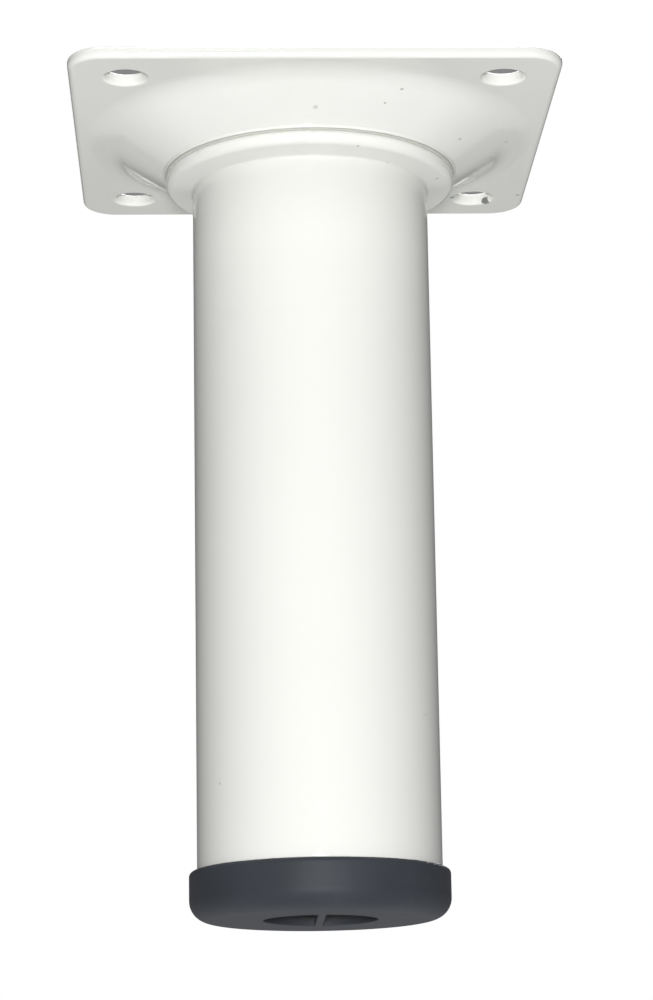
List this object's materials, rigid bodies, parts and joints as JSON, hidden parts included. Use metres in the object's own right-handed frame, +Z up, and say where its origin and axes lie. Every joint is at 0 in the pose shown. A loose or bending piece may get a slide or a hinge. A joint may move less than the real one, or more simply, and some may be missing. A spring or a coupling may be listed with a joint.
{
  "type": "table leg",
  "caption": "Short round furniture leg: a steel tube folded onto a domed square screw plate, with a push-in plastic foot cap.",
  "frame": {"origin": "centre of the foot's underside, on the floor", "axes": "+Z up the tube to the mounting face, +X and +Y along the plate's sides"},
  "size_m": [0.06, 0.06, 0.1015],
  "materials": {
    "white_paint": "gloss white powder coat",
    "black_plastic": "fine matt moulded black"
  },
  "bodies": {
    "root": {"mounting_plate": "white_paint", "leg_tube": "white_paint", "foot_cap": "black_plastic"}
  },
  "joints": []
}
